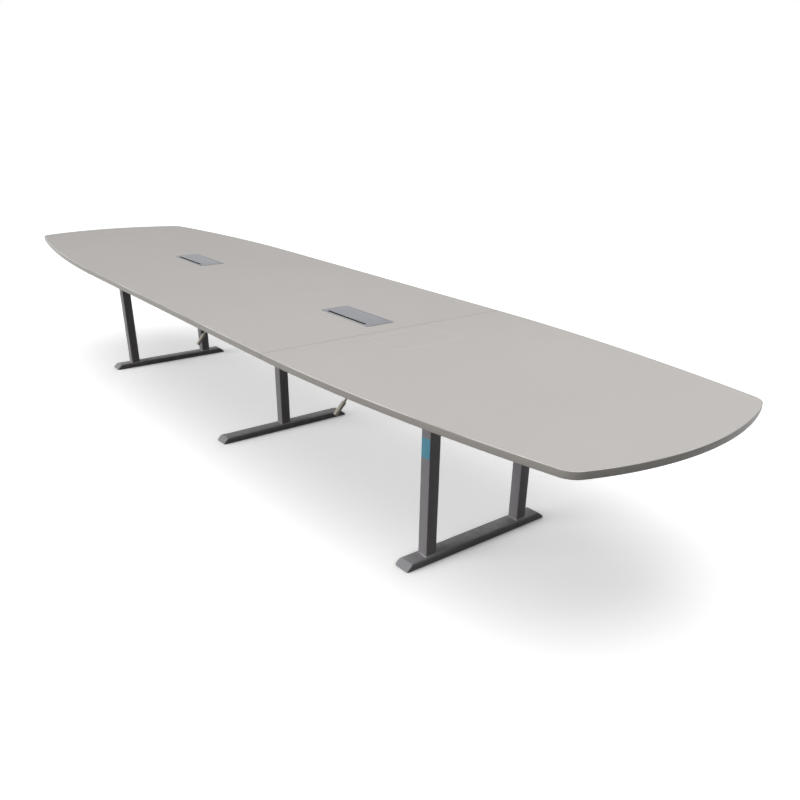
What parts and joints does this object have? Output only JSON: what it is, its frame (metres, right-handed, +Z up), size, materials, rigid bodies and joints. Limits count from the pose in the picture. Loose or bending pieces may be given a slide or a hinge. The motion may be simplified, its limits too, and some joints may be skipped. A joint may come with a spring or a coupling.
{
  "type": "conference table",
  "caption": "Boat-shaped conference table: light grey laminate top in joined boards on dark grey T-frames, with flush hinged power boxes and levelling glides.",
  "frame": {"origin": "on the floor under the middle of the top's outline", "axes": "+X along the table towards the end with the joint, +Y across towards the lid hinges, +Z up"},
  "size_m": [4.776, 1.216, 0.7425],
  "materials": {
    "laminate": "light warm grey matt laminate on a wood-based board",
    "edging": "grey plastic edging, satin",
    "frame_paint": "dark grey satin powder coat on steel tube",
    "foot_cap": "dark grey moulded plastic",
    "zinc": "zinc-plated steel",
    "glide": "black moulded plastic",
    "box_aluminium": "satin anodised aluminium",
    "tub_paint": "black painted sheet steel",
    "socket": "black moulded plastic",
    "lead": "off-white plastic"
  },
  "bodies": {
    "table": {"main_top_board": "laminate", "end_top_board": "laminate", "main_top_edging": "edging", "end_top_edging": "edging", "seam_plate_left": "zinc", "seam_plate_right": "zinc", "near_foot": "frame_paint", "near_beam": "frame_paint", "near_post_left": "frame_paint", "near_post_right": "frame_paint", "near_foot_cap_left": "foot_cap", "near_screw_left": "zinc", "near_foot_cap_right": "foot_cap", "near_screw_right": "zinc", "middle_foot": "frame_paint", "middle_beam": "frame_paint", "middle_post": "frame_paint", "middle_foot_cap_left": "foot_cap", "middle_screw_left": "zinc", "middle_foot_cap_right": "foot_cap", "middle_screw_right": "zinc", "far_foot": "frame_paint", "far_beam": "frame_paint", "far_post_left": "frame_paint", "far_post_right": "frame_paint", "far_foot_cap_left": "foot_cap", "far_screw_left": "zinc", "far_foot_cap_right": "foot_cap", "far_screw_right": "zinc", "far_rail_left": "frame_paint", "far_rail_right": "frame_paint", "near_rail_left": "frame_paint", "near_rail_right": "frame_paint", "near_box_bezel": "box_aluminium", "near_box_tub": "tub_paint", "near_box_hinge_rod": "zinc", "near_box_socket_strip": "socket", "near_lead_gland": "lead", "near_lead": "lead", "near_lead_connector": "lead", "far_box_bezel": "box_aluminium", "far_box_tub": "tub_paint", "far_box_hinge_rod": "zinc", "far_box_socket_strip": "socket", "far_lead_gland": "lead", "far_lead": "lead", "far_lead_connector": "lead"},
    "near_box_lid": {"near_box_lid": "box_aluminium"},
    "far_box_lid": {"far_box_lid": "box_aluminium"},
    "near_glide_left": {"near_glide_left": "glide"},
    "near_glide_right": {"near_glide_right": "glide"},
    "middle_glide_left": {"middle_glide_left": "glide"},
    "middle_glide_right": {"middle_glide_right": "glide"},
    "far_glide_left": {"far_glide_left": "glide"},
    "far_glide_right": {"far_glide_right": "glide"}
  },
  "joints": [
    {"name": "near_lid_hinge", "type": "hinge", "parent": "table", "child": "near_box_lid", "pos_m": [0.657, 0.0667, 0.7375], "axis": [-1, 0, 0], "range_deg": [0, 95]},
    {"name": "far_lid_hinge", "type": "hinge", "parent": "table", "child": "far_box_lid", "pos_m": [-0.934, 0.0667, 0.7375], "axis": [-1, 0, 0], "range_deg": [0, 95]},
    {"name": "near_glide_left_level", "type": "slide", "parent": "table", "child": "near_glide_left", "axis": [0, 0, -1], "range_m": [0, 0.01]},
    {"name": "near_glide_right_level", "type": "slide", "parent": "table", "child": "near_glide_right", "axis": [0, 0, -1], "range_m": [0, 0.01]},
    {"name": "middle_glide_left_level", "type": "slide", "parent": "table", "child": "middle_glide_left", "axis": [0, 0, -1], "range_m": [0, 0.01]},
    {"name": "middle_glide_right_level", "type": "slide", "parent": "table", "child": "middle_glide_right", "axis": [0, 0, -1], "range_m": [0, 0.01]},
    {"name": "far_glide_left_level", "type": "slide", "parent": "table", "child": "far_glide_left", "axis": [0, 0, -1], "range_m": [0, 0.01]},
    {"name": "far_glide_right_level", "type": "slide", "parent": "table", "child": "far_glide_right", "axis": [0, 0, -1], "range_m": [0, 0.01]}
  ]
}
